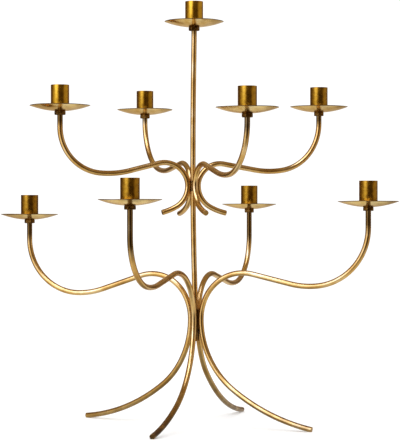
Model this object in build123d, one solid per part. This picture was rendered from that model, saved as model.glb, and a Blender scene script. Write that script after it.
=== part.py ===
from build123d import *
from math import asin, cos, degrees, radians, sin, sqrt
import os

# Nine-light brass candelabra, in millimetres. +Z is up and the floor is Z = 0. The origin is
# under the joint where the four lower arms are brazed to the stem. The arms are hand-bent, so
# each one has its own reach, height and bends.

REACH_LIMIT = 300.0  # nothing stands out further than this from the origin's axis

# Rods
ROD_R = 3.65  # stem, arms and feet are one gauge of solid rod
BRAZE_GAP = 0.15  # between an arm and the stem where they are brazed together
END_LENGTH = 2.0  # straight bit at each sawn end
END_EASE = 0.5  # rounding of the sawn ends
FOOT_FLAT = 0.8  # depth of the flat filed under each foot
SPIGOT_R = 3.0  # threaded end of each rod, drawn without its thread
SPIGOT_LENGTH = 9.5

# Hexagon nut under each pan
NUT_ACROSS_FLATS = 13.0
NUT_HEIGHT = 5.0
NUT_CHAMFER = 0.7
NUT_STEP = 17.0  # degrees between the way that one nut and the next are turned

# Drip pan, a shallow spun dish
PAN_R = 39.5
PAN_DEPTH = 7.5
PAN_SHEET = 0.8
PAN_SEAT_R = 6.5  # flat middle that the nut and the cup clamp
RUNNING_GAP = 0.08  # round the spigot, in the pan and in the cup

# Candle cup
CUP_R = 12.0
CUP_BORE_R = 11.2  # takes a 22 mm candle
CUP_TOP = 39.0  # above the underside of the nut
CUP_FOOT_R = 6.0
CUP_FOOT_HEIGHT = 0.8
CUP_FLOOR = 4.0  # from the foot's underside to the bottom of the bore
CUP_LIP = 0.25  # rounding of the rim
CUP_HEEL = 1.0  # rounding of the outer bottom edge

# Stem: two very gentle arcs, upright at STEM_BELLY_Z, and upright again under the top light
STEM_BOTTOM = 115.0
STEM_SEAT = 526.5
STEM_BELLY_Z = 345.0
STEM_BELLY_X = -3.8
STEM_LOWER_BOW_R = 5400.0
STEM_UPPER_BOW_R = 9500.0
STEM_UPPER_BOW = 1.0  # degrees
STEM_SETTLE_R = 700.0

# Arms: from its braze an arm rises in an upright plane and turns out over a hump, runs straight,
# dips and rises to its nut. Below the braze it turns out again, to a foot on a lower arm and to a
# short free tail on an upper one. A foot's plane may be turned a little from its arm's. Bend radii
# are of the rod's centreline.
LOWER_BRAZE_Z = 142.5
LOWER_TURN = -20.5  # degrees from +X to the first arm, seen from above
LOWER_BENDS = dict(rise_r=67.0, rise=27.0, dip_r=110.0, dip=20.0, toe_r=265.0)
LOWER_ARMS = [
    dict(reach=237.5, seat=286.5, hump_r=58.0, hump=76.0, riser_r=76.5),
    dict(reach=219.0, seat=284.0, hump_r=51.5, hump=76.0, riser_r=66.0),
    dict(reach=245.0, seat=269.5, hump_r=53.5, hump=81.5, riser_r=73.5),
    dict(reach=227.5, seat=288.0, hump_r=60.0, hump=75.0, riser_r=64.0),
]
LOWER_FEET = [
    dict(knee=54.0, toe=26.0, foot_turn=-5.0),
    dict(knee=49.0, toe=34.5, foot_turn=0.0),
    dict(knee=53.5, toe=30.0, foot_turn=-13.5),
    dict(knee=61.5, toe=18.5, foot_turn=0.0),
]
UPPER_BRAZE_Z = 320.0
UPPER_TURN = 21.5
UPPER_BENDS = dict(rise_r=27.5, rise=28.5, dip_r=126.0, dip=19.0, toe_r=84.5)
UPPER_ARMS = [
    dict(reach=185.0, seat=416.5, hump_r=32.0, hump=71.0, riser_r=65.0),
    dict(reach=189.0, seat=418.5, hump_r=34.5, hump=71.0, riser_r=72.5),
    dict(reach=185.0, seat=411.0, hump_r=33.5, hump=75.5, riser_r=59.5),
    dict(reach=185.5, seat=402.5, hump_r=29.0, hump=76.5, riser_r=65.5),
]
UPPER_TAIL_KNEE_R = 32.0
UPPER_TAIL_KNEE = 62.5
UPPER_TAIL_TOES = [15.0, 17.5, 12.5, 15.0]

# Braze metal between each arm and the stem
BRAZE_WIDTH = 5.0
LOWER_BRAZE_LENGTH = 26.0
UPPER_BRAZE_LENGTH = 14.0


def bent(start, heading, *moves):
    """Edges of a bent rod's centreline: a move is a length, or a radius and a turn to the left."""
    edges = []
    at = Vector(*start)
    way = Vector(cos(radians(heading)), sin(radians(heading)))
    for move in moves:
        if isinstance(move, tuple):
            edge = JernArc(start=at, tangent=way, radius=move[0], arc_size=move[1])
        else:
            edge = Line(at, at + way * move)
        edges.append(edge)
        at = edge @ 1
        way = edge % 1
    return edges


def upright(angle, x=0.0):
    """The upright plane that holds an arm: its X runs outwards and its Y is up."""
    a = radians(angle)
    return Plane(origin=(x, 0, 0), x_dir=(cos(a), sin(a), 0), z_dir=(sin(a), -cos(a), 0))


def rod(edges):
    """A round rod along edges, in the plane that the edges were drawn in."""
    path = Wire(edges)
    section = Plane(origin=path @ 0, z_dir=path % 0) * Circle(ROD_R)
    return sweep(section, path=path)


def rod_end(point, heading):
    """The last, straight bit of a rod, from a point of its centreline, with a rounded edge."""
    end = Cylinder(ROD_R, END_LENGTH, align=(Align.CENTER, Align.CENTER, Align.MIN))
    end = fillet(end.edges().group_by(Axis.Z)[-1], END_EASE)
    way = (cos(radians(heading)), sin(radians(heading)), 0)
    return Plane(origin=point, z_dir=way) * end


def standing_knee_r(bends, braze_z):
    """The knee radius that brings a lower arm's foot down to the floor."""
    slope = radians(90 - bends["knee"] - bends["toe"])
    end_z = END_LENGTH * sin(slope) + ROD_R * cos(slope) - FOOT_FLAT
    toe_drop = bends["toe_r"] * (cos(slope) - sin(radians(bends["knee"])))
    return (braze_z - end_z - toe_drop) / sin(radians(bends["knee"]))


def foot(bends, braze_z):
    """What is below an arm's braze, in its own plane, with the braze over the plane's origin."""
    centreline = bent((0, braze_z), -90, (bends["knee_r"], bends["knee"]), (bends["toe_r"], bends["toe"]))
    heading = bends["knee"] + bends["toe"] - 90
    return rod(centreline) + rod_end(centreline[-1] @ 1, heading)


def arm(bends, braze_r, braze_z):
    """A whole arm in its own plane, and the point where its light sits."""
    start = (braze_r, braze_z)
    fall = bends["rise"] + bends["hump"] - 90
    over = [(bends["rise_r"], -bends["rise"]), (bends["hump_r"], -bends["hump"])]
    upwards = [(bends["dip_r"], bends["dip"]), (bends["riser_r"], 90 + fall - bends["dip"])]
    short = bent(start, 90, *over, *upwards)[-1] @ 1
    run = (bends["reach"] - short.X) / cos(radians(fall))
    riser = bends["seat"] - short.Y + run * sin(radians(fall))
    solid = rod(bent(start, 90, *over, run, *upwards, riser)) + spigot(bends["reach"], bends["seat"])
    solid += Pos(braze_r, 0, 0) * Rot(0, bends["foot_turn"], 0) * foot(bends, braze_z)
    return solid, Vector(bends["reach"], bends["seat"])


def spigot(x, y):
    """The threaded end that stands on a rod's end, upright in the rod's plane."""
    return Pos(x, y, 0) * Rot(-90, 0, 0) * Cylinder(
        SPIGOT_R, SPIGOT_LENGTH, align=(Align.CENTER, Align.CENTER, Align.MIN)
    )


def stem():
    """The stem in its own plane, and the point where its top light sits."""
    bow = degrees(asin((STEM_BELLY_Z - STEM_BOTTOM) / STEM_LOWER_BOW_R))
    bottom = (stem_x(STEM_BOTTOM), STEM_BOTTOM)
    moves = [(STEM_LOWER_BOW_R, -bow), (STEM_UPPER_BOW_R, -STEM_UPPER_BOW)]
    moves += [(STEM_SETTLE_R, STEM_UPPER_BOW)]
    bowed = bent(bottom, 90 + bow, *moves)[-1] @ 1
    centreline = bent(bottom, 90 + bow, *moves, STEM_SEAT - bowed.Y)
    end = rod_end(bottom, bow - 90)
    return rod(centreline) + end + spigot(bowed.X, STEM_SEAT), Vector(bowed.X, STEM_SEAT)


def stem_x(z):
    """How far the stem's lower bow has taken it from the origin's axis at a height."""
    return STEM_BELLY_X + STEM_LOWER_BOW_R - sqrt(STEM_LOWER_BOW_R**2 - (z - STEM_BELLY_Z) ** 2)


def brazed_stretch(braze_z, length):
    """The stretch of the stem that a tier is brazed to. It is short enough to count as straight."""
    ends = [Vector(stem_x(z), 0, z) for z in (braze_z - length, braze_z + length)]
    way = ends[1] - ends[0]
    straight = Cylinder(ROD_R, way.length, align=(Align.CENTER, Align.CENTER, Align.MIN))
    return Plane(origin=ends[0], z_dir=way) * straight


def braze(braze_r, braze_z, length):
    """The filler between one arm and the stem, before the two rods are cut from it."""
    return Pos(braze_r / 2, braze_z, 0) * Box(braze_r, length, BRAZE_WIDTH)


def nut():
    """A chamfered hexagon nut, standing on the origin."""
    up = (Align.CENTER, Align.CENTER, Align.MIN)
    hexagon = extrude(RegularPolygon(NUT_ACROSS_FLATS / 2, 6, major_radius=False), NUT_HEIGHT)
    blank = Cylinder(NUT_ACROSS_FLATS / sqrt(3), NUT_HEIGHT, align=up)
    blank = chamfer(blank.edges().filter_by(GeomType.CIRCLE), NUT_CHAMFER / 2, NUT_CHAMFER)
    return (hexagon & blank) - Cylinder(SPIGOT_R, NUT_HEIGHT, align=up)


def turned(points, radii):
    """A body turned from a closed outline of radius and height, with its corners rounded."""
    outline = FilletPolyline(*points, radius=radii, close=True)
    return revolve(Plane.XZ * make_face(outline), Axis.Z)


def drip_pan():
    """The dish, with the underside of its flat middle on the origin."""
    dish_r = (PAN_R**2 + PAN_DEPTH**2) / (2 * PAN_DEPTH)
    vertex = sqrt(dish_r**2 - PAN_SEAT_R**2) - dish_r

    def dished(r):
        return vertex + dish_r - sqrt(dish_r**2 - r**2)

    hole_r = SPIGOT_R + RUNNING_GAP
    edge_r = PAN_R - PAN_SHEET / 2
    middle_r = (PAN_SEAT_R + edge_r) / 2
    up = Vector(0, PAN_SHEET)
    below = [Vector(r, dished(r)) for r in (PAN_SEAT_R, middle_r, edge_r)]
    above = [point + up for point in below]
    rim = Vector(PAN_R, dished(edge_r) + PAN_SHEET / 2)
    outline = [
        Line((hole_r, 0), below[0]),
        ThreePointArc(*below),
        ThreePointArc(below[2], rim, above[2]),
        ThreePointArc(*reversed(above)),
        Line(above[0], (hole_r, PAN_SHEET)),
        Line((hole_r, PAN_SHEET), (hole_r, 0)),
    ]
    return revolve(Plane.XZ * make_face(outline), Axis.Z)


def candle_cup():
    """The cup, with the underside of its foot on the origin."""
    height = CUP_TOP - NUT_HEIGHT - PAN_SHEET
    hole_r = SPIGOT_R + RUNNING_GAP
    outline = [
        (hole_r, 0),
        (CUP_FOOT_R, 0),
        (CUP_FOOT_R, CUP_FOOT_HEIGHT),
        (CUP_R, CUP_FOOT_HEIGHT),
        (CUP_R, height),
        (CUP_BORE_R, height),
        (CUP_BORE_R, CUP_FLOOR),
        (hole_r, CUP_FLOOR),
    ]
    return turned(outline, [0, 0, 0, CUP_HEEL, CUP_LIP, CUP_LIP, 0, 0])


parts = {}
seats = []
plane = upright(0)
stem_solid, seat = stem()
parts["stem"] = plane * stem_solid
seats.append(("top", plane.from_local_coords(seat)))

below_floor = Pos(0, 0, -ROD_R) * Box(2 * REACH_LIMIT, 2 * REACH_LIMIT, 2 * ROD_R)
braze_r = 2 * ROD_R + BRAZE_GAP
lower_bends = [LOWER_BENDS | own | below for own, below in zip(LOWER_ARMS, LOWER_FEET)]
for bends in lower_bends:
    bends["knee_r"] = standing_knee_r(bends, LOWER_BRAZE_Z)
tail = dict(knee_r=UPPER_TAIL_KNEE_R, knee=UPPER_TAIL_KNEE, foot_turn=0.0)
upper_bends = [
    UPPER_BENDS | tail | own | dict(toe=toe) for own, toe in zip(UPPER_ARMS, UPPER_TAIL_TOES)
]
tiers = (
    ("lower", lower_bends, LOWER_TURN, LOWER_BRAZE_Z, LOWER_BRAZE_LENGTH),
    ("upper", upper_bends, UPPER_TURN, UPPER_BRAZE_Z, UPPER_BRAZE_LENGTH),
)
for tier, arms, turn, braze_z, braze_length in tiers:
    core = brazed_stretch(braze_z, braze_length)
    fillers = []
    for i, bends in enumerate(arms):
        plane = upright(turn + 90 * i, stem_x(braze_z))
        solid, seat = arm(bends, braze_r, braze_z)
        solid = plane * solid - below_floor
        parts[f"{tier}_arm_{i + 1}"] = solid
        seats.append((f"{tier}_{i + 1}", plane.from_local_coords(seat)))
        filler = plane * braze(braze_r, braze_z, braze_length)
        fillers.append(filler - core - solid)
    parts[f"{tier}_braze"] = Compound(children=fillers)

nut_solid = nut()
pan_solid = drip_pan()
cup_solid = candle_cup()
for i, (name, seat) in enumerate(seats):
    parts[f"nut_{name}"] = Pos(*seat) * Rot(0, 0, NUT_STEP * i) * nut_solid
    parts[f"pan_{name}"] = Pos(*seat) * Pos(0, 0, NUT_HEIGHT) * pan_solid
    parts[f"cup_{name}"] = Pos(*seat) * Pos(0, 0, NUT_HEIGHT + PAN_SHEET) * cup_solid

os.makedirs("parts", exist_ok=True)
for name, solid in parts.items():
    export_step(solid, f"parts/{name}.step")
    print(name, round(solid.volume), solid.bounding_box())
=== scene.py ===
import math
import random

import bmesh
import bpy
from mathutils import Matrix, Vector


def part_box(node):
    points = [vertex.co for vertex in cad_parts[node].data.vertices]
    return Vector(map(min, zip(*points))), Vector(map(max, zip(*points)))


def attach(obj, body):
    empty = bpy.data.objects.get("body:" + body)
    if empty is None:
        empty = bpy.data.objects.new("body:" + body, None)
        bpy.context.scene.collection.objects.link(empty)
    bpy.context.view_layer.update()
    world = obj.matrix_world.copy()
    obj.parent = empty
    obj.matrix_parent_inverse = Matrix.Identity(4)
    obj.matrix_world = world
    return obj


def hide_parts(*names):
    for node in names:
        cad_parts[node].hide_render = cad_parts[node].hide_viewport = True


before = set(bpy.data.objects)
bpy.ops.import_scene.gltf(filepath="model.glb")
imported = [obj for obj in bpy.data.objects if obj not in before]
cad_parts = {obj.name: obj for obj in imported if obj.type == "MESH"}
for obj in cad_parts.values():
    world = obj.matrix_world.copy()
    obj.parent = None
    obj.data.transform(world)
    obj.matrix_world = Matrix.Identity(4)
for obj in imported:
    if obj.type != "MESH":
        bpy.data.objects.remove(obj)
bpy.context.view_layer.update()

# Everything is in metres, in the CAD model's frame: the front of the candelabra faces -Y.
LIGHTS = ["top"] + [f"{tier}_{i}" for tier in ("lower", "upper") for i in (1, 2, 3, 4)]
ARMS = [f"{tier}_arm_{i}" for tier in ("lower", "upper") for i in (1, 2, 3, 4)]

# Camera: level with the middle of the piece, a good way off, through a long lens
CAMERA_AT = (0.0056, -2.4615, 0.28707)
CAMERA_AIM = (0.0056, 0.0, 0.2744)
SENSOR_HEIGHT = 36.0  # mm, like the lens
LENS = 151.04
CAMERA_REACH = 50.0

# Sizes that the CAD model has too
ROD_R = 0.00365
SPIGOT_R = 0.003
RUNNING_GAP = 0.00008  # round a spigot, in the pan and in the cup
NUT_FLATS_R = 0.0065
NUT_TURN = 17  # degrees between the way that one nut and the next are turned
SHEET = 0.0008
PAN_R = 0.0395
PAN_DEPTH = 0.0075
PAN_SEAT_R = 0.0065
CUP_R = 0.012
CUP_BORE_R = 0.0112
CUP_FOOT_R = 0.006
CUP_FOOT = 0.0008
CUP_FLOOR = 0.004

# Details that only the pieces modelled here have
PAN_STEPS = 144  # round a pan
PAN_RINGS = 22  # across its dish
PAN_FLAT_RADII = [0.0048, 0.0062]  # rings of its flat seat
RIM_BEAD_R = 0.00045
RIM_BEAD_STEPS = 8
RIM_WAVE = 0.00044  # how far the rim strays up and down, in waves of these orders round it
RIM_WAVE_ORDERS = (2, 3, 5)
RIM_WAVE_FROM = 0.6  # the share of the pan's radius that stays true
CUP_STEPS = 96
# How far each corner of a cup's outline is rounded, from the hole outwards and round to it
CUP_EASES = [0.0001, 0.00015, 0.0001, 0.001, 0.0003, 0.0003, 0.0008, 0.0002]
NUT_STEPS = 96
NUT_LEVELS = 8
NUT_CHAMFER = 0.0006
NUT_CHAMFER_SLOPE = 1.6
NUT_CORNER_POWER = 26  # higher is a sharper edge between a flat and the turned chamfer
NUT_BORE_EASE = 0.0004
THREAD_STEPS = 48  # in each turn
THREAD_PITCH = 0.001
THREAD_ROOT_R = 0.0029
THREAD_CREST_R = 0.00305
THREAD_ROOT_HALF = 0.45  # half the widths of root and crest, in pitches
THREAD_CREST_HALF = 0.12

# Colours, linear
ROD_GOLD = (0.69, 0.425, 0.130, 1)
ROD_PALE = (0.83, 0.61, 0.30, 1)
ROD_AMBER = (0.55, 0.30, 0.072, 1)
CUP_GOLD = (0.60, 0.325, 0.024, 1)
CUP_AMBER = (0.31, 0.150, 0.011, 1)
CUP_BROWN = (0.13, 0.054, 0.007, 1)
PAN_STRAW = (0.88, 0.66, 0.28, 1)
PAN_GOLD = (0.70, 0.46, 0.13, 1)
PAN_PALE = (0.93, 0.79, 0.48, 1)
PAN_EDGE_TINT = (0.95, 0.86, 0.66, 1)  # the pans' reflection at a grazing angle
BROWN = (0.13, 0.062, 0.015, 1)
FOOT_BROWN = (0.125, 0.062, 0.018, 1)
NUT_BROWN = (0.17, 0.080, 0.014, 1)
DARK_BROWN = (0.035, 0.017, 0.005, 1)
WHITE = (1, 1, 1, 1)

# The two lots of braze metal, each in three tones from dark to light: the dark tones are partly
# the filler's own colour and partly painted shade of the narrow slit between the rods
BRAZE_TONES = {
    "lower_braze": (DARK_BROWN, BROWN, NUT_BROWN),
    "upper_braze": (DARK_BROWN, BROWN, ROD_AMBER),
}

# Painted shade in the slits of the lower joint: an upright spindle in each corner between the stem
# and an arm, full dark inside the first radius and gone at the second
SLIT_SHADE_SQUASH = (1, 1, 0.115)
SLIT_SHADE_DROP = -0.007
SLIT_SHADE_R = (0.0024, 0.0034)
SLIT_SHADE_SHARE = 0.95

# The dark stretch of a rod below its nut. To where it is full, one darkened length is added.
NUT_SHADE_SHARE = 0.78
NUT_SHADE_FULL = 0.003
NUT_SHADE_GONE = 0.009
NUT_SHADE_FADE = 1.4  # the darkened lengths to add to where it is gone
NUT_SHADE_RAGGED = 0.006
FOOT_SHADE_Z = (0.005, 0.065)  # the feet's brown is full at the first height, gone at the second
PAN_EDGE_WIDTH = (0.0016, 0.0002)  # the brown of a pan's edge begins and is full this far inside
PAN_RING_PITCH = 0.0011  # of the marks that spinning left on the pans

# How each light has aged, with painted shade: the share of its cup that is brown, partly patina
# and partly painted shade, least on the cups that the light catches best; how far the rod has
# darkened below its nut; and the share of its foot that is brown
AGE_AND_SHADE = {
    "top": (0.10, 0.002, 0.0),
    "lower_1": (0.70, 0.018, 0.45),
    "lower_2": (0.65, 0.034, 0.70),
    "lower_3": (0.80, 0.015, 0.35),
    "lower_4": (0.70, 0.044, 1.0),
    "upper_1": (0.65, 0.008, 0.0),
    "upper_2": (0.60, 0.003, 0.0),
    "upper_3": (0.15, 0.008, 0.0),
    "upper_4": (0.55, 0.012, 0.0),
}

# The studio as the metal sees it: brightness by direction, from behind the piece (-180 degrees)
# by its left (-90), the camera (0) and its right (90) to behind again (180)
STUDIO_GAIN = 2.3
STUDIO_BELT = [
    (-180, 0.28), (-156, 0.20), (-138, 0.05), (-104, 0.06), (-90, 0.22), (-64, 0.45),
    (-46, 0.60), (-30, 0.60), (-18, 0.24), (-8, 0.04), (34, 0.03), (50, 0.09),
    (64, 0.26), (100, 0.27), (112, 0.30), (124, 0.10), (140, 0.05), (156, 0.20), (180, 0.28),
]
STUDIO_CEILING = 0.13
STUDIO_CEILING_FROM = (0.20, 0.42)  # the belt gives way to it between these rises
STUDIO_BASE = 0.02
# Softboxes above the belt: the way to each, the cosines where it begins and is full, brightness
STUDIO_BOXES = [
    ((-0.62, -0.62, 0.45), 0.85, 0.95, 1.25),
    ((-0.12, -0.52, 0.84), 0.91, 0.96, 1.7),
]
# The tint by brightness: the dark of the room is warm, and the middle of its lights is cool
STUDIO_TINTS = [(0.05, (1.0, 0.70, 0.42, 1)), (0.45, WHITE), (1.0, (0.86, 0.96, 1.55, 1))]

# The floor as the metal sees it: (distance from the middle, brightness), then the belt's
FLOOR_UNDER = (0.06, 0.14)
FLOOR_NEAR = (0.28, 0.40)
FLOOR_FAR = (0.25, 0.90)  # between these distances the belt takes over
FLOOR_HALF = 12.0
FLOOR_Z = -0.0001

# The plain light: the backdrop that the camera sees and a softbox, which light the floor
BACKDROP = 1.12
SOFTBOX_AT = (-0.7, -0.9, 2.2)
SOFTBOX_SIZE = 1.8
SOFTBOX_WATTS = 12


# ---------------------------------------------------------------- node helpers
class Nodes:
    """A short way to write a material's nodes."""

    def __init__(self, tree):
        self.tree = tree

    def feed(self, socket, value):
        """Link a socket's value, or set it."""
        if isinstance(value, bpy.types.NodeSocket):
            self.tree.links.new(value, socket)
        else:
            socket.default_value = value

    def add(self, kind, inputs=(), **settings):
        node = self.tree.nodes.new("ShaderNode" + kind)
        for key, value in settings.items():
            setattr(node, key, value)
        for key, value in dict(inputs).items():
            self.feed(node.inputs[key], value)
        return node

    def point(self):
        return self.add("TexCoord").outputs["Object"]

    def noise(self, scale, detail=4.0, roughness=0.55, stretch=None):
        at = self.point()
        if stretch:
            at = self.add("Mapping", {"Vector": at, "Scale": stretch}).outputs["Vector"]
        settings = {"Vector": at, "Scale": scale, "Detail": detail, "Roughness": roughness}
        return self.add("TexNoise", settings).outputs["Fac"]

    def ramp(self, value, *stops):
        """stops are (position, colour or grey)."""
        node = self.add("ValToRGB", {"Fac": value})
        elements = node.color_ramp.elements
        for _ in range(len(stops) - len(elements)):
            elements.new(0.5)
        for element, (position, colour) in zip(elements, stops):
            element.position = position
            element.color = colour if hasattr(colour, "__len__") else (colour,) * 3 + (1,)
        return node.outputs["Color"]

    def mix(self, share, a, b, blend="MIX"):
        node = self.add("Mix", data_type="RGBA", blend_type=blend)
        # The colour sockets of a Mix node share their names, so they go by number
        for socket, value in ((node.inputs[0], share), (node.inputs[6], a), (node.inputs[7], b)):
            self.feed(socket, value)
        return node.outputs[2]

    def maths(self, operation, *values):
        node = self.add("Math", operation=operation)
        for socket, value in zip(node.inputs, values):
            self.feed(socket, value)
        return node.outputs[0]

    def vector(self, operation, a, b=None, output="Vector"):
        inputs = {0: a} if b is None else {0: a, 1: b}
        return self.add("VectorMath", inputs, operation=operation).outputs[output]

    def span(self, value, low, high, to_low=0.0, to_high=1.0):
        settings = {"Value": value, "From Min": low, "From Max": high}
        settings.update({"To Min": to_low, "To Max": to_high})
        return self.add("MapRange", settings).outputs["Result"]

    def patches(self, scale, least, most):
        """A value that drifts between least and most over the surface."""
        return self.span(self.noise(scale), 0.3, 0.7, least, most)

    def bump(self, height, strength, distance=0.0002):
        settings = {"Height": height, "Strength": strength, "Distance": distance}
        return self.add("Bump", settings).outputs["Normal"]


def metal(name, colour_of, roughness_of, bump_of, edge_tint=WHITE):
    """A metal whose colour, roughness and bump come from functions of its Nodes."""
    material = bpy.data.materials.new(name)
    material.use_nodes = True
    tree = material.node_tree
    tree.nodes.clear()
    n = Nodes(tree)
    shader = n.add("BsdfPrincipled", {"Metallic": 1.0, "Specular Tint": edge_tint})
    tree.links.new(colour_of(n), shader.inputs["Base Color"])
    tree.links.new(roughness_of(n), shader.inputs["Roughness"])
    tree.links.new(bump_of(n), shader.inputs["Normal"])
    output = n.add("OutputMaterial", {"Surface": shader.outputs["BSDF"]})
    output.is_active_output = True
    return material


# ---------------------------------------------------------------- materials
def rod_brass(name, light_at, darkened, foot_browned=0.0, corners=()):
    """Aged rod: warm gold with a thin brown patina, browner near the floor and for some way below
    its nut, with painted shade in the corners of the lower joint where the rods meet."""

    def near_nut(n):
        offset = n.vector("DISTANCE", n.point(), light_at, "Value")
        ragged = n.maths("MULTIPLY_ADD", n.noise(130), NUT_SHADE_RAGGED, offset)
        full = NUT_SHADE_FULL + darkened
        gone = NUT_SHADE_GONE + NUT_SHADE_FADE * darkened
        return n.span(ragged, full, gone, NUT_SHADE_SHARE, 0.0)

    # Painted shade in the slits of the lower joint, darkest in each corner between stem and arm
    def slit_shade(n):
        most = 0.0
        for corner in corners:
            offset = n.vector("SUBTRACT", n.point(), corner)
            flat = n.vector("MULTIPLY", offset, SLIT_SHADE_SQUASH)
            far = n.vector("LENGTH", flat, output="Value")
            most = n.maths("MAXIMUM", most, n.span(far, *SLIT_SHADE_R, SLIT_SHADE_SHARE, 0.0))
        return most

    def colour(n):
        tones = ((0.32, ROD_AMBER), (0.50, ROD_GOLD), (0.70, ROD_PALE))
        mottled = n.ramp(n.noise(38, 5, 0.55), *tones)
        stains = n.ramp(n.noise(24, 5, 0.65), (0.52, 0.0), (0.72, 0.40))
        aged = n.mix(stains, mottled, BROWN)
        spots = n.ramp(n.noise(430, 3, 0.6), (0.66, 0.0), (0.80, 0.3))
        spotted = n.mix(spots, aged, DARK_BROWN)
        height = n.add("SeparateXYZ", {"Vector": n.point()}).outputs["Z"]
        low = n.span(height, *FOOT_SHADE_Z, foot_browned, 0.0)
        patchy = n.maths("MULTIPLY", low, n.span(n.noise(60), 0.25, 0.5))
        worn = n.mix(patchy, spotted, FOOT_BROWN)
        # the darkened stretch below the nut, and the painted shade in the joint's corners
        dark = n.maths("MAXIMUM", near_nut(n), slit_shade(n))
        return n.mix(dark, worn, DARK_BROWN)

    def roughness(n):
        return n.patches(70, 0.12, 0.26)

    def bump(n):
        return n.bump(n.noise(480, 4, 0.6), 0.03)

    return metal(name, colour, roughness, bump)


def cup_brass(name, brown_and_shade):
    """Spun brass, deeper in colour than the rods, with fine mottling and brown runs."""

    def colour(n):
        fine = n.noise(240, 5, 0.7)
        bright = n.ramp(fine, (0.30, CUP_AMBER), (0.50, CUP_GOLD))
        dull = n.ramp(fine, (0.34, CUP_BROWN), (0.56, CUP_AMBER))
        # The share of dull tones is partly patina and partly painted shade, least on the cups that
        # the light catches best
        mottled = n.mix(brown_and_shade, bright, dull)
        runs = n.ramp(n.noise(120, 5, 0.7, stretch=(1, 1, 0.2)), (0.54, 0.0), (0.76, 0.5))
        return n.mix(runs, mottled, CUP_BROWN)

    def roughness(n):
        return n.patches(150, 0.10 + 0.08 * brown_and_shade, 0.22 + 0.14 * brown_and_shade)

    def bump(n):
        return n.bump(n.noise(330, 5, 0.7), 0.07)

    return metal(name, colour, roughness, bump)


def pan_brass():
    """Thin spun brass, paler than the rods, with turning marks, stains and a brown edge."""

    def radius(n):
        parts = n.add("SeparateXYZ", {"Vector": n.point()})
        x2 = n.maths("MULTIPLY", parts.outputs["X"], parts.outputs["X"])
        y = parts.outputs["Y"]
        return n.maths("SQRT", n.maths("MULTIPLY_ADD", y, y, x2))

    def colour(n):
        tones = ((0.34, PAN_GOLD), (0.52, PAN_STRAW), (0.7, PAN_PALE))
        mottled = n.ramp(n.noise(70, 6, 0.6), *tones)
        stains = n.ramp(n.noise(45, 5, 0.7), (0.50, 0.0), (0.72, 0.6))
        aged = n.mix(stains, mottled, BROWN)
        begins, full = PAN_EDGE_WIDTH
        edge = n.span(radius(n), PAN_R - begins, PAN_R - full)
        return n.mix(edge, aged, BROWN)

    def roughness(n):
        return n.patches(120, 0.08, 0.2)

    def bump(n):
        rings = n.maths("SINE", n.maths("MULTIPLY", radius(n), 2 * math.pi / PAN_RING_PITCH))
        worn = n.maths("MULTIPLY", rings, n.noise(60, 3))
        return n.bump(n.maths("ADD", worn, n.noise(260)), 0.06)

    return metal("pan_brass", colour, roughness, bump, PAN_EDGE_TINT)


def nut_bronze():
    """The nuts' dark, rough metal."""

    def colour(n):
        tones = ((0.34, DARK_BROWN), (0.56, NUT_BROWN), (0.76, ROD_AMBER))
        return n.ramp(n.noise(300, 5, 0.7), *tones)

    def roughness(n):
        return n.patches(300, 0.3, 0.5)

    def bump(n):
        return n.bump(n.noise(500, 5, 0.7), 0.4)

    return metal("nut_bronze", colour, roughness, bump)


def braze_metal(name, dark, middle, light):
    """Filler metal that has run in between the rods, in three tones; the dark ones are partly
    painted shade of the slit that it fills.
    """

    def colour(n):
        return n.ramp(n.noise(120, 4, 0.6), (0.35, dark), (0.55, middle), (0.75, light))

    def roughness(n):
        return n.patches(300, 0.25, 0.45)

    def bump(n):
        return n.bump(n.noise(250, 4, 0.6), 0.12, 0.0003)

    return metal(name, colour, roughness, bump)


# ---------------------------------------------------------------- mesh helpers
def piece(name, mesh, at, material, body, node=None):
    """A finished mesh at its place, in place of a CAD node if one is named."""
    o = bpy.data.objects.new(name, mesh)
    bpy.context.scene.collection.objects.link(o)
    o.location = at
    o.data.materials.append(material)
    for polygon in o.data.polygons:
        polygon.use_smooth = True
    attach(o, body)
    if node:
        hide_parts(node)
    return o


def mesh_of(name, bm):
    """The mesh of a closed bmesh, with its faces turned outwards."""
    bmesh.ops.recalc_face_normals(bm, faces=bm.faces)
    mesh = bpy.data.meshes.new(name)
    bm.to_mesh(mesh)
    bm.free()
    return mesh


def turned(name, outline, steps, wave=None):
    """A closed mesh turned from a closed outline of (radius, height), with wave(radius, angle)
    added to the height."""
    bm = bmesh.new()
    rings = []
    for k in range(steps):
        a = 2 * math.pi * k / steps
        ring = []
        for r, z in outline:
            lift = wave(r, a) if wave else 0.0
            ring.append(bm.verts.new((r * math.cos(a), r * math.sin(a), z + lift)))
        rings.append(ring)
    count = len(outline)
    for k, ring in enumerate(rings):
        after = rings[(k + 1) % steps]
        for i in range(count):
            j = (i + 1) % count
            bm.faces.new((ring[i], after[i], after[j], ring[j]))
    return mesh_of(name, bm)


def rounded(corners, radii, steps=5):
    """The outline with its corners rounded, each by its own radius, in short straight bits."""
    points = []
    count = len(corners)
    for i, (corner, radius) in enumerate(zip(corners, radii)):
        here = Vector(corner)
        before = (Vector(corners[i - 1]) - here).normalized()
        after = (Vector(corners[(i + 1) % count]) - here).normalized()
        half = before.angle(after) / 2
        start = here + before * (radius / math.tan(half))
        centre = here + (before + after).normalized() * (radius / math.sin(half))
        end = here + after * (radius / math.tan(half))
        first = (start - centre).normalized()
        last = (end - centre).normalized()
        for k in range(steps + 1):
            way = first.slerp(last, k / steps)
            points.append(tuple(centre + way * radius))
    return points


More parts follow.
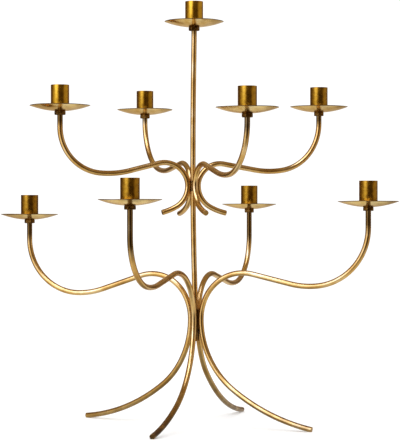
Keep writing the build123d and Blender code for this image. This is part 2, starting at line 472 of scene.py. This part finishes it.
def pan_mesh(name, seed):
    """A spun dish with a beaded rim that has gone a little wavy with use."""
    rng = random.Random(seed)
    dish_r = (PAN_R**2 + PAN_DEPTH**2) / (2 * PAN_DEPTH)
    vertex = math.sqrt(dish_r**2 - PAN_SEAT_R**2) - dish_r

    def dished(r):
        return 0.0 if r < PAN_SEAT_R else vertex + dish_r - math.sqrt(dish_r**2 - r**2)

    hole_r = SPIGOT_R + RUNNING_GAP
    edge_r = PAN_R - RIM_BEAD_R
    radii = [hole_r] + PAN_FLAT_RADII
    for k in range(PAN_RINGS + 1):
        radii.append(PAN_SEAT_R + (edge_r - PAN_SEAT_R) * k / PAN_RINGS)
    below = [(r, dished(r)) for r in radii]
    above = [(r, dished(r) + SHEET) for r in reversed(radii)]
    bead_z = dished(edge_r) + SHEET / 2
    bead = []
    for k in range(1, RIM_BEAD_STEPS):
        a = -math.pi / 2 + math.pi * k / RIM_BEAD_STEPS
        bead.append((edge_r + RIM_BEAD_R * math.cos(a), bead_z + SHEET / 2 * math.sin(a)))
    waves = []
    for order in RIM_WAVE_ORDERS:
        turn = rng.uniform(0, 2 * math.pi)
        waves.append((order, turn, rng.uniform(0.3, 1.0) / order))

    def wave(r, a):
        share = max(0.0, (r - RIM_WAVE_FROM * PAN_R) / ((1 - RIM_WAVE_FROM) * PAN_R)) ** 2
        strays = sum(size * math.cos(order * a + turn) for order, turn, size in waves)
        return RIM_WAVE * share * strays

    return turned(name, below + bead + above, PAN_STEPS, wave)


def cup_mesh():
    """A thin-walled cup with a small foot, a thick floor and an eased lip."""
    low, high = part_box("cup_top")
    height = high.z - low.z
    hole_r = SPIGOT_R + RUNNING_GAP
    corners = [
        (hole_r, 0),
        (CUP_FOOT_R, 0),
        (CUP_FOOT_R, CUP_FOOT),
        (CUP_R, CUP_FOOT),
        (CUP_R, height),
        (CUP_BORE_R, height),
        (CUP_BORE_R, CUP_FLOOR),
        (hole_r, CUP_FLOOR),
    ]
    return turned("cup", rounded(corners, CUP_EASES), CUP_STEPS)


def thread_mesh(height):
    """The crest of a rolled thread, standing a little proud of its spigot."""
    bm = bmesh.new()
    count = round(height / THREAD_PITCH * THREAD_STEPS)
    rise = THREAD_PITCH / THREAD_STEPS
    rows = []
    for k in range(count + 1):
        a = 2 * math.pi * k / THREAD_STEPS
        fade = min(1.0, k / THREAD_STEPS, (count - k) / THREAD_STEPS)
        crest_r = THREAD_ROOT_R + (THREAD_CREST_R - THREAD_ROOT_R) * fade
        section = (
            (THREAD_ROOT_R, -THREAD_ROOT_HALF),
            (crest_r, -THREAD_CREST_HALF),
            (crest_r, THREAD_CREST_HALF),
            (THREAD_ROOT_R, THREAD_ROOT_HALF),
        )
        row = []
        for r, z in section:
            level = min(max(k * rise + (z + 0.5) * THREAD_PITCH, 0.0), height)
            row.append(bm.verts.new((r * math.cos(a), r * math.sin(a), level)))
        rows.append(row)
    for before, after in zip(rows, rows[1:]):
        for i in range(4):
            j = (i + 1) % 4
            bm.faces.new((before[i], after[i], after[j], before[j]))
    bm.faces.new(rows[0])
    bm.faces.new(reversed(rows[-1]))
    return mesh_of("thread", bm)


def nut_mesh():
    """A hexagon nut with turned chamfers top and bottom and an eased bore."""
    low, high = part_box("nut_top")
    height = high.z - low.z
    bm = bmesh.new()

    def ring(z, radius_at):
        """A ring of vertices at a height, with radius_at(angle)."""
        verts = []
        for s in range(NUT_STEPS):
            a = 2 * math.pi * s / NUT_STEPS
            r = radius_at(a)
            verts.append(bm.verts.new((r * math.cos(a), r * math.sin(a), z)))
        return verts

    corner_r = NUT_FLATS_R / math.cos(math.pi / 6)
    loop = []
    for k in range(NUT_LEVELS + 1):
        z = height * k / NUT_LEVELS
        cap_r = corner_r - max(0.0, NUT_CHAMFER - min(z, height - z)) * NUT_CHAMFER_SLOPE

        def outer_r(a):
            flat_r = NUT_FLATS_R / math.cos(a % (math.pi / 3) - math.pi / 6)
            power = NUT_CORNER_POWER
            return (flat_r**-power + cap_r**-power) ** (-1 / power)

        loop.append(ring(z, outer_r))
    for z in (height, height - NUT_BORE_EASE, NUT_BORE_EASE, 0):
        bore_r = SPIGOT_R + (NUT_BORE_EASE if z in (0, height) else 0)
        loop.append(ring(z, lambda a: bore_r))
    for lower, upper in zip(loop, loop[1:] + loop[:1]):
        for s in range(NUT_STEPS):
            t = (s + 1) % NUT_STEPS
            bm.faces.new((lower[s], lower[t], upper[t], upper[s]))
    return mesh_of("nut", bm)


# ---------------------------------------------------------------- the object
def seat_of(light):
    """The middle of a light's nut, on its underside, from the frame."""
    low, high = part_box(f"nut_{light}")
    return Vector(((low.x + high.x) / 2, (low.y + high.y) / 2, low.z))


def on_axis(middle, node):
    """Where the level of a CAD node's underside meets the upright axis through middle."""
    low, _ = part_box(node)
    return Vector((middle.x, middle.y, low.z))


def build_lights():
    """Pan, cup, nut and thread of each light."""
    pan_metal = pan_brass()
    nut_metal = nut_bronze()
    thread_metal = rod_brass("rod_brass_thread", seat_of("top"), 0.0)
    cup_shape = cup_mesh()
    nut_shape = nut_mesh()
    for i, light in enumerate(LIGHTS):
        low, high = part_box(f"pan_{light}")
        middle = (low + high) / 2

        name = f"pan_{light}"
        pan = pan_mesh(f"pan_mesh_{light}", 10 + i)
        piece(f"drip_pan_{light}", pan, on_axis(middle, name), pan_metal, name, name)

        name = f"cup_{light}"
        cup = cup_shape.copy()
        # Each cup's share of dull brass is partly patina and partly painted shade
        brown_and_shade, _, _ = AGE_AND_SHADE[light]
        cup_metal = cup_brass(f"cup_brass_{light}", brown_and_shade)
        piece(f"candle_cup_{light}", cup, on_axis(middle, name), cup_metal, name, name)

        name = f"nut_{light}"
        nut = nut_shape.copy()
        at = on_axis(middle, name)
        hexagon = piece(f"hex_nut_{light}", nut, at, nut_metal, "frame", name)
        hexagon.rotation_euler.z = math.radians(NUT_TURN * i)

        rod_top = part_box("stem" if light == "top" else light.replace("_", "_arm_"))[1].z
        thread = thread_mesh(rod_top - at.z)
        piece(f"thread_{light}", thread, at, thread_metal, "frame")


def joint_corners():
    """The middle of each corner between the stem and a lower arm, where the slit gets painted
    shade.
    """
    low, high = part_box("lower_braze")
    middle = (low + high) / 2
    corners = []
    for i in (1, 2, 3, 4):
        outwards = seat_of(f"lower_{i}") - middle
        outwards.z = 0
        corners.append(middle + outwards.normalized() * ROD_R + Vector((0, 0, SLIT_SHADE_DROP)))
    return corners


def paint(node, material):
    """Give a CAD node its one material."""
    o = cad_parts[node]
    o.data.materials.clear()
    o.data.materials.append(material)


def build_rods():
    """Materials of the stem, the arms and the braze metal."""
    corners = joint_corners()
    for node in ["stem"] + ARMS:
        light = "top" if node == "stem" else node.replace("_arm", "")
        _, darkened, foot_browned = AGE_AND_SHADE[light]
        # The stem and the lower arms get painted shade in the slits of the lower joint
        slit_shade = corners if node == "stem" or node.startswith("lower") else ()
        name = f"rod_brass_{light}"
        paint(node, rod_brass(name, seat_of(light), darkened, foot_browned, slit_shade))
    for node, tones in BRAZE_TONES.items():
        paint(node, braze_metal(node, *tones))


# ---------------------------------------------------------------- the studio
def build_studio():
    scene = bpy.context.scene
    scene.view_settings.view_transform = "Standard"
    scene.world = studio_world()

    lens = bpy.data.cameras.new("camera")
    lens.sensor_fit = "VERTICAL"
    lens.sensor_height = SENSOR_HEIGHT
    lens.lens = LENS
    lens.clip_end = CAMERA_REACH
    camera = bpy.data.objects.new("camera", lens)
    scene.collection.objects.link(camera)
    camera.location = CAMERA_AT
    way = Vector(CAMERA_AIM) - Vector(CAMERA_AT)
    camera.rotation_euler = way.to_track_quat("-Z", "Y").to_euler()
    scene.camera = camera

    mesh = bpy.data.meshes.new("floor")
    half = FLOOR_HALF
    corners = [(-half, -half, 0), (half, -half, 0), (half, half, 0), (-half, half, 0)]
    mesh.from_pydata(corners, [], [(0, 1, 2, 3)])
    floor = bpy.data.objects.new("floor", mesh)
    scene.collection.objects.link(floor)
    floor.location.z = FLOOR_Z
    mesh.materials.append(paper())

    light = bpy.data.lights.new("softbox", "AREA")
    light.shape = "SQUARE"
    light.size = SOFTBOX_SIZE
    light.energy = SOFTBOX_WATTS
    softbox = bpy.data.objects.new("softbox", light)
    scene.collection.objects.link(softbox)
    softbox.location = SOFTBOX_AT
    softbox.rotation_euler = (-softbox.location).to_track_quat("-Z", "Y").to_euler()
    softbox.visible_glossy = False


def belt(n, way):
    """The studio's brightness in the compass direction of a vector."""
    backwards = n.maths("MULTIPLY", way.outputs["Y"], -1.0)
    turn = n.maths("ARCTAN2", way.outputs["X"], backwards)
    share = n.span(turn, -math.pi, math.pi)
    return n.ramp(share, *[((a + 180) / 360, grey) for a, grey in STUDIO_BELT])


def tinted(n, grey):
    """A brightness of the studio in its tint."""
    return n.mix(1.0, grey, n.ramp(grey, *STUDIO_TINTS), "MULTIPLY")


def paper():
    """The pale floor. In the metal it is bright near the piece, except close under it, and further
    off it takes the studio's brightness in that direction."""
    material = bpy.data.materials.new("paper")
    material.use_nodes = True
    tree = material.node_tree
    tree.nodes.clear()
    n = Nodes(tree)
    matt = n.add("BsdfDiffuse", {"Color": WHITE}).outputs["BSDF"]
    away = n.vector("LENGTH", n.point(), output="Value")
    near = n.ramp(away, FLOOR_UNDER, FLOOR_NEAR)
    far = tinted(n, belt(n, n.add("SeparateXYZ", {"Vector": n.point()})))
    grey = n.mix(n.span(away, *FLOOR_FAR), near, far)
    mirrored = n.add("Emission", {"Color": grey, "Strength": STUDIO_GAIN}).outputs["Emission"]
    glossy = n.add("LightPath").outputs["Is Glossy Ray"]
    both = n.add("MixShader", {0: glossy, 1: matt, 2: mirrored})
    n.add("OutputMaterial", {"Surface": both.outputs["Shader"]})
    return material


def studio_world():
    """White for the camera and for the floor's light, and a studio with softboxes for the metal."""
    world = bpy.data.worlds.new("studio")
    world.use_nodes = True
    tree = world.node_tree
    tree.nodes.clear()
    n = Nodes(tree)
    direction = n.add("TexCoord").outputs["Generated"]
    way = n.add("SeparateXYZ", {"Vector": direction})
    above = n.span(way.outputs["Z"], *STUDIO_CEILING_FROM)
    seen = n.mix(above, belt(n, way), (STUDIO_CEILING,) * 3 + (1,))
    for towards, begins, full, grey in STUDIO_BOXES:
        cosine = n.vector("DOT_PRODUCT", direction, Vector(towards).normalized(), "Value")
        seen = n.maths("MAXIMUM", seen, n.span(cosine, begins, full, 0.0, grey))
    seen = tinted(n, n.maths("ADD", seen, STUDIO_BASE))
    studio = n.add("Background", {"Color": seen, "Strength": STUDIO_GAIN}).outputs[0]
    white = n.add("Background", {"Color": WHITE, "Strength": BACKDROP}).outputs[0]
    glossy = n.add("LightPath").outputs["Is Glossy Ray"]
    both = n.add("MixShader", {0: glossy, 1: white, 2: studio})
    n.add("OutputWorld", {"Surface": both.outputs["Shader"]})
    return world


build_studio()
build_rods()
build_lights()
